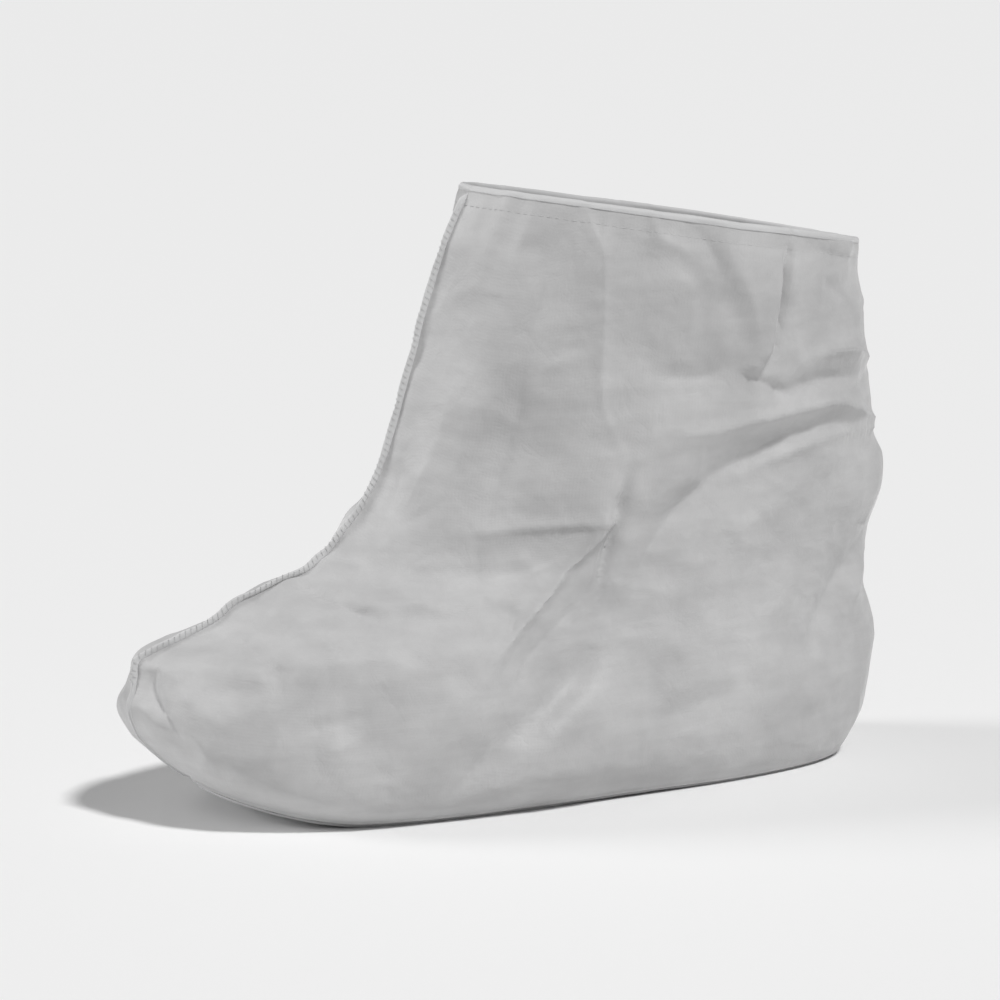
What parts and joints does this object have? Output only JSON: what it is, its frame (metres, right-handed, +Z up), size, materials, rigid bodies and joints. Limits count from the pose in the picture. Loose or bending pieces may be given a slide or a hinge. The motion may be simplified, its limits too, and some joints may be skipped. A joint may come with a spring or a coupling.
{
  "type": "boot cover",
  "caption": "Slip-on nonwoven fabric boot cover, a hollow boot-shaped shell with an elastic collar hem, standing seams and a soft sole sheet.",
  "frame": {"origin": "on the floor under the middle of the cover's box, where the sole's flat spots lie", "axes": "+Z up, +Y towards the toe, +X towards the inner side of the left foot"},
  "size_m": [0.122, 0.3186, 0.228],
  "materials": {
    "cover_cloth": "matt white nonwoven cloth, softly creased",
    "sole_cloth": "matt white coated cloth",
    "hem_cloth": "matt white folded hem over elastic",
    "seam_cloth": "matt white double cloth, stitched"
  },
  "bodies": {
    "root": {"upper": "cover_cloth", "sole": "sole_cloth", "collar_hem": "hem_cloth", "front_seam": "seam_cloth", "back_seam": "seam_cloth"}
  },
  "joints": []
}
